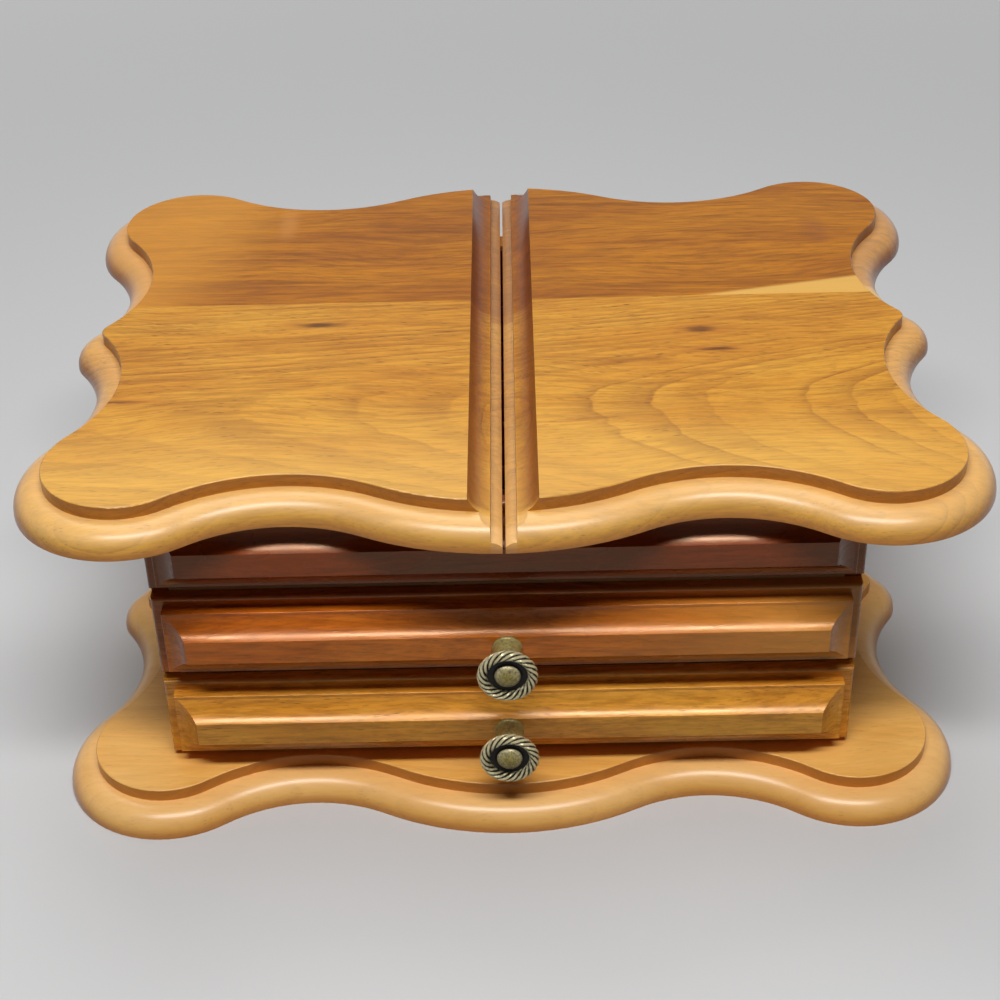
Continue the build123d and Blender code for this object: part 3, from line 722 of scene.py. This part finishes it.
# %% Twist and bend
for way, axis, angle in (("TWIST", "X", -TWISTS * 2 * pi), ("BEND", "Z", 2 * pi)):
    set_modifier(rope, "SIMPLE_DEFORM", deform_method=way, deform_axis=axis, angle=angle)
open_piece(rope)
bpy.ops.mesh.select_all(action="SELECT")
bpy.ops.transform.translate(value=(0, -HOOP * MM, RIM * MM))
close_piece(0.05 * MM)
reach = max(v.co.xy.length for v in rope.data.vertices)
print("rope hoop reaches", round(reach * 1000, 2), "mm from the axis")

# %% Knob brass
brass, tree, shader = start_finish("knob_brass", Metallic=0.3)
where, normal = place_in_mm(tree)
patches = cloudy(tree, where, (0.9, 0.9, 0.9), 4, 0.7)
painted = {}
for name in ("patina_and_shade", "plain"):
    node = tree.nodes.new("ShaderNodeAttribute")
    node.attribute_name = name
    painted[name] = node.outputs["Fac"]
patina_and_shade = work(tree, "ADD", painted["patina_and_shade"], drift(tree, patches, 1.1))
# Olive where the plain attribute is 1, cream where it is 0; the cream rim of the button is a painted
# reflection.
bare_brass_and_reflection = blend(tree, painted["plain"], shade(222, 210, 166), shade(180, 162, 84))
colour = blend(tree, between(tree, patina_and_shade, 0.1, 0.8), bare_brass_and_reflection, shade(24, 18, 12))
put(tree, shader.inputs["Base Color"], colour)
put(tree, shader.inputs["Roughness"], between(tree, patina_and_shade, 0.0, 0.9, 0.3, 0.6))
bumps(tree, shader, cloudy(tree, where, (2.5, 2.5, 2.5), 3), 0.00006, 0.6)

# %% Patina, painted shade and a painted reflection
DISH_FLOOR, DISH_TOP = 16.2, 18.4
GROOVE, STRAND = 1.5, 2.0

take(body, rope)
bpy.ops.object.join()
body.data.materials.append(brass)
bpy.ops.object.shade_smooth_by_angle(angle=CREASE)
patina_and_shade_points = body.data.attributes.new("patina_and_shade", "FLOAT", "POINT")
tint_and_reflection_points = body.data.attributes.new("plain", "FLOAT", "POINT")
for point, dark, olive_and_rim_reflection in zip(body.data.vertices, patina_and_shade_points.data, tint_and_reflection_points.data):
    radius, height = point.co.xy.length * 1000, point.co.z * 1000
    in_rope = Vector((radius - HOOP, height - RIM)).length
    if in_rope < ROPE + 0.1:
        groove = min(1.0, max(0.0, (STRAND - in_rope) / (STRAND - GROOVE)))
        # Patina fills the grooves; the inner side of the rope, towards the dish, is darker as patina and
        # painted shade.
        dark.value = min(1.0, 0.1 + 0.3 * max(0.0, (HOOP - radius) / ROPE) + 0.9 * groove)
    elif BUTTON - 0.1 < radius < LIP + 0.2 and DISH_FLOOR < height < DISH_TOP:
        dark.value = 1.0
    elif height > DISH_FLOOR:
        # The button is olive in the middle and fades to cream at its rim: a painted reflection.
        dark.value, olive_and_rim_reflection.value = 0.38, 1.0 - min(1.0, radius / BUTTON) ** 3
    else:
        dark.value, olive_and_rim_reflection.value = 0.3, 0.8
print("patina painted on", len(patina_and_shade_points.data), "points")

# %% Two knobs
twin = body.copy()
twin.data = body.data.copy()
bpy.context.scene.collection.objects.link(twin)
for knob, level in ((twin, "upper"), (body, "lower")):
    low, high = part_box(level + "_knob")
    knob.name = level + "_rope_knob"
    take(knob)
    knob.rotation_euler = (pi / 2, 0, 0)
    knob.location = (0, high[1], (low[2] + high[2]) / 2)
    bpy.ops.object.transform_apply()
    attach(knob, level + "_drawer")
    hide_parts(level + "_knob")
    print(knob.name, [round(v * 1000, 1) for v in (*knob.bound_box[0], *knob.bound_box[6])])

# %% [markdown]
# ## Velvet
# The compartment and both drawers are lined with wine-red velvet. Its pile stands up, so it looks dark
# straight on and pale where it is seen along the surface, which is what the shader's sheen is for. The
# pads and ring rolls are foam under cloth. Each starts as a plain soft shape, and a short cloth
# simulation with air pressure inside blows it up, while the points that rest on something are held. The
# partitions and the lining are card with cloth glued on, so they stay flat and only their edges are round.

# %% Velvet finish
velvet, tree, shader = start_finish(
    "wine_velvet", Roughness=0.85, Sheen_Weight=0.7, Sheen_Roughness=0.35,
    Sheen_Tint=shade(214, 120, 130), Specular_IOR_Level=0.15
)
where, normal = place_in_mm(tree)
brushed = cloudy(tree, where, (0.05, 0.05, 0.05), 3, 0.6)
pile = cloudy(tree, where, (2.6, 2.6, 2.6), 3, 0.7)
nap = between(tree, work(tree, "ADD", times(tree, brushed, 0.45), times(tree, pile, 0.55)), 0.2, 0.8)
put(tree, shader.inputs["Base Color"], blend(tree, nap, shade(76, 10, 24), shade(118, 22, 40)))
bumps(tree, shader, pile, 0.0004, 0.7)


def velvet_piece(piece, body, *nodes, fill=0.8):
    """Covers a finished piece with velvet and ties it to its body."""
    piece.data.materials.clear()
    piece.data.materials.append(velvet)
    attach(piece, body)
    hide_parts(*nodes)
    print(piece.name, [round(v * 1000, 1) for v in (*piece.bound_box[0], *piece.bound_box[6])])


# %% Soft shapes
def soft_slab(name, low, high, round_by, steps=4):
    """A slab between two corners, in metres, with every edge rounded."""
    middle = [(a + b) / 2 for a, b in zip(low, high)]
    bpy.ops.mesh.primitive_cube_add(size=1, location=middle)
    slab = bpy.context.object
    slab.name = name
    slab.scale = [b - a for a, b in zip(low, high)]
    bpy.ops.object.transform_apply()
    open_piece(slab)
    pick(slab, "edges", lambda e: True)
    bpy.ops.mesh.bevel(offset=round_by, segments=steps, affect="EDGES")
    close_piece()
    bpy.ops.object.shade_smooth_by_angle(angle=CREASE)
    return slab


PRESSURE, FRAMES = 4.0, 20


def blown_up(piece, held, rise, spare=0.0):
    """Blows a piece up as cloth, cut larger by the share spare. Points that held() says yes to stay,
    and none moves further than rise."""
    take(piece)
    before = [point.co.copy() for point in piece.data.vertices]
    pins = piece.vertex_groups.new(name="held")
    pins.add([point.index for point in piece.data.vertices if held(point.co)], 1.0, "REPLACE")
    cloth = piece.modifiers.new("air", "CLOTH")
    cloth.settings.vertex_group_mass = "held"
    cloth.settings.use_pressure = True
    cloth.settings.uniform_pressure_force = PRESSURE
    cloth.settings.shrink_min = -spare
    cloth.settings.effector_weights.gravity = 0.0
    for moment in range(1, FRAMES + 1):
        bpy.context.scene.frame_set(moment)
    bpy.ops.object.modifier_apply(modifier=cloth.name)
    bpy.context.scene.frame_set(1)
    furthest = max((point.co - start).length for point, start in zip(piece.data.vertices, before))
    share = min(1.0, rise / furthest)
    for point, start in zip(piece.data.vertices, before):
        point.co = start + share * (point.co - start)
    piece.vertex_groups.clear()
    print(piece.name, "was blown up by", round(furthest * share * 1000, 2), "mm")
    set_modifier(piece, "SUBSURF", levels=1, render_levels=1)
    bpy.ops.object.shade_smooth()


# %% Pads
CELL = 6 * MM
PAD_RISE = 1.4 * MM
CARD, NEAR = 5 * MM, 1.5 * MM
PADS = (  # the pad, its body, the partitions that stand on it, and whether rolls lie between them
    ("compartment_pad", "case", "compartment_partitions", True),
    ("upper_drawer_pad", "upper_drawer", "upper_drawer_partitions", False),
    ("lower_drawer_pad", "lower_drawer", None, False),
)


def foam_sheet(name, low, high):
    """A closed sheet of foam between two corners, with a grid of points above and below."""
    wide, deep, thick = (b - a for a, b in zip(low, high))
    middle = ((low[0] + high[0]) / 2, (low[1] + high[1]) / 2, low[2])
    columns, rows = round(wide / CELL), round(deep / CELL)
    bpy.ops.mesh.primitive_grid_add(x_subdivisions=columns, y_subdivisions=rows, size=1, location=middle)
    sheet = bpy.context.object
    sheet.name = name
    sheet.scale = (wide, deep, 1)
    bpy.ops.object.transform_apply()
    open_piece(sheet)
    bpy.ops.mesh.select_all(action="SELECT")
    pull((0, 0, thick))
    close_piece()
    return sheet


for name, body_name, cards, has_rolls in PADS:
    low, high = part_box(name)
    first, last = (corner[0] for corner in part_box(cards)) if cards else (0.0, 0.0)

    def rests(point):
        """Says if a point lies on the tray, under a card partition or under the rolls between them."""
        under = first - NEAR < point.x < last + NEAR
        open_middle = first + CARD + NEAR < point.x < last - CARD - NEAR
        return point.z < low[2] + 1 * MM or (cards and under and (has_rolls or not open_middle))

    pad = foam_sheet("velvet_" + name, low, high)
    blown_up(pad, rests, PAD_RISE)
    velvet_piece(pad, body_name, name)

# %% Partitions
for name, body_name in (("compartment_partitions", "case"), ("upper_drawer_partitions", "upper_drawer")):
    low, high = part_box(name)
    cards = [
        soft_slab("velvet_" + name, (x0, low[1], low[2]), (x0 + CARD, high[1], high[2]), 2.2 * MM)
        for x0 in (low[0], high[0] - CARD)
    ]
    take(*cards)
    bpy.ops.object.join()
    velvet_piece(cards[0], body_name, name)

# %% Lining
LINING, ROUND = 1.5 * MM, 0.7 * MM
LONG_EDGE, OPENING = 10 * MM, 0.02

low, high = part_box("compartment_lining")
bpy.ops.mesh.primitive_plane_add(size=1, location=((low[0] + high[0]) / 2, (low[1] + high[1]) / 2, low[2]))
lining = bpy.context.object
lining.name = "velvet_compartment_lining"
lining.scale = (high[0] - low[0], high[1] - low[1], 1)
bpy.ops.object.transform_apply()
open_piece(lining)
bpy.ops.mesh.select_all(action="SELECT")
bpy.ops.mesh.inset(thickness=LINING)
pick(lining, "polygons", lambda face: face.area > OPENING)
bpy.ops.mesh.delete(type="FACE")
bpy.ops.mesh.select_all(action="SELECT")
pull((0, 0, high[2] - low[2]))
close_piece()


def along_the_top(edge):
    """Says if an edge of the lining is a long one on its upper rim."""
    start, end = (lining.data.vertices[v].co for v in edge.vertices)
    return min(start.z, end.z) > high[2] - 0.01 * MM and (start - end).length > LONG_EDGE


open_piece(lining)
pick(lining, "edges", along_the_top)
bpy.ops.mesh.bevel(offset=ROUND, segments=3, affect="EDGES")
close_piece()
bpy.ops.object.shade_smooth_by_angle(angle=CREASE)
velvet_piece(lining, "case", "compartment_lining")

# %% Ring rolls
ROLLS, ROLL_RISE, SPARE_CLOTH = 12, 0.55 * MM, 0.08

low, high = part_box("ring_rolls")
pitch = (high[1] - low[1]) / ROLLS
full, half = pitch / 2 * 1000, high[0] * 1000
end = [(0.3, 0.5 - half), (2.6, 0.2 - half), (5.2, 0.6 - half), (7.2, 1.8 - half), (full - 1.0, 4.0 - half)]
long_side = [(full - 0.6, -half + 8 + (half - 8) * step / 6) for step in range(13)]
other_end = [(radius, -height) for radius, height in reversed(end)]
roll = turned("velvet_ring_rolls", 20, end + long_side + other_end)
roll.rotation_euler = (0, pi / 2, 0)
roll.location = (0, low[1] + pitch / 2, low[2] + pitch / 2)
bpy.ops.object.transform_apply()


def rests(point):
    """Says if a point of the roll lies on the pad or at one of its ends."""
    return point.z < low[2] + 1.2 * MM or abs(point.x) > high[0] - 1 * MM


blown_up(roll, rests, ROLL_RISE, SPARE_CLOTH)
set_modifier(roll, "ARRAY", count=ROLLS, use_relative_offset=False, use_constant_offset=True,
             constant_offset_displace=(0, pitch, 0))
velvet_piece(roll, "case", "ring_rolls")

# %% [markdown]
# ## Measure
# The bounds of the dressed box are measured; it has to stay as large as the boards say.

# %% Measure
low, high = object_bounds()
